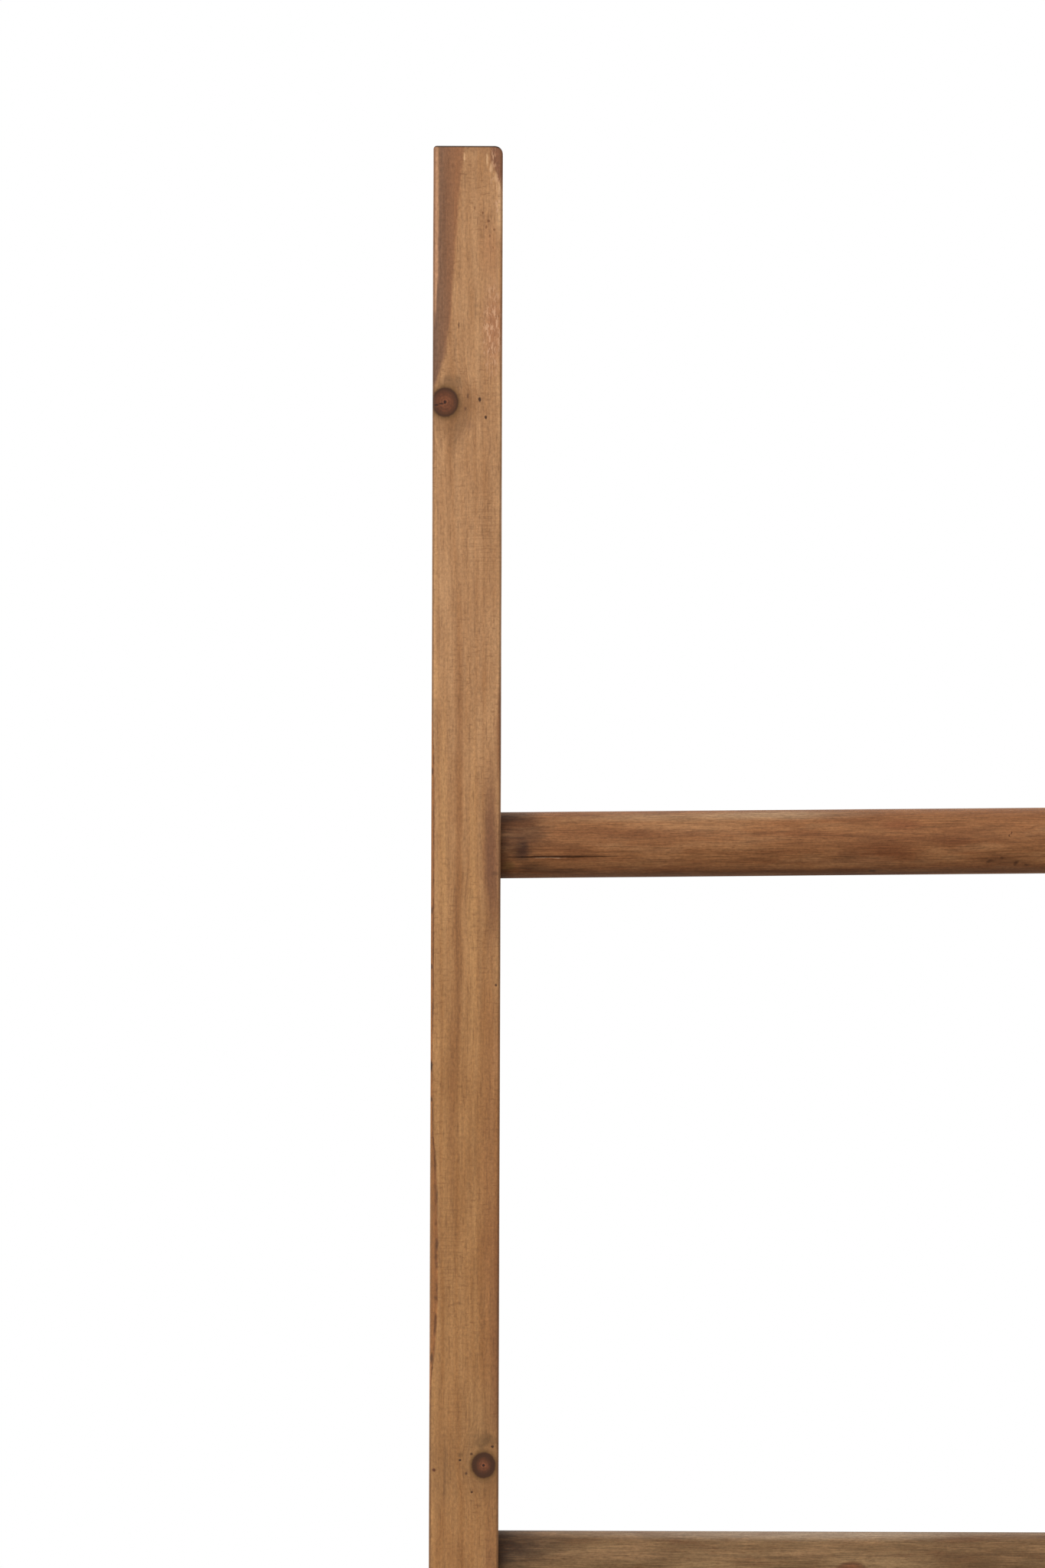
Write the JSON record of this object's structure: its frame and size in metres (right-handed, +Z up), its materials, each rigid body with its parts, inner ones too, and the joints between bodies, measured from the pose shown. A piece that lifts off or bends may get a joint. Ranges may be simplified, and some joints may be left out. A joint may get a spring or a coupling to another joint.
{
  "type": "leaning quilt rack",
  "caption": "Leaning wooden ladder rack: upright rails joined by round rungs, over which quilts and blankets are hung.",
  "frame": {"origin": "on the floor, midway between the feet and midway between the front and back of the whole rack", "axes": "+Z up along the rails, -Y the front, +Y towards the wall that it leans on, -X the left rail as seen from the front"},
  "size_m": [0.508, 0.0432, 1.83],
  "materials": {
    "rail_wood": "waxed, knotty softwood, planed, warm honey brown",
    "rung_wood": "waxed, darker stained turned wood",
    "plug_wood": "sanded end-grain plug, waxed",
    "zinc_plated_steel": "bright zinc plate",
    "black_rubber": "matt moulded rubber",
    "brown_felt": "pressed wool felt"
  },
  "bodies": {
    "root": {"left_rail": "rail_wood", "right_rail": "rail_wood", "rung_1": "rung_wood", "rung_2": "rung_wood", "rung_3": "rung_wood", "rung_4": "rung_wood", "rung_5": "rung_wood", "rung_1_left_screw": "zinc_plated_steel", "rung_1_left_plug": "plug_wood", "rung_1_right_screw": "zinc_plated_steel", "rung_1_right_plug": "plug_wood", "rung_2_left_screw": "zinc_plated_steel", "rung_2_left_plug": "plug_wood", "rung_2_right_screw": "zinc_plated_steel", "rung_2_right_plug": "plug_wood", "rung_3_left_screw": "zinc_plated_steel", "rung_3_left_plug": "plug_wood", "rung_3_right_screw": "zinc_plated_steel", "rung_3_right_plug": "plug_wood", "rung_4_left_screw": "zinc_plated_steel", "rung_4_left_plug": "plug_wood", "rung_4_right_screw": "zinc_plated_steel", "rung_4_right_plug": "plug_wood", "rung_5_left_screw": "zinc_plated_steel", "rung_5_left_plug": "plug_wood", "rung_5_right_screw": "zinc_plated_steel", "rung_5_right_plug": "plug_wood", "left_foot": "black_rubber", "left_wall_bumper": "brown_felt", "right_foot": "black_rubber", "right_wall_bumper": "brown_felt"}
  },
  "joints": []
}
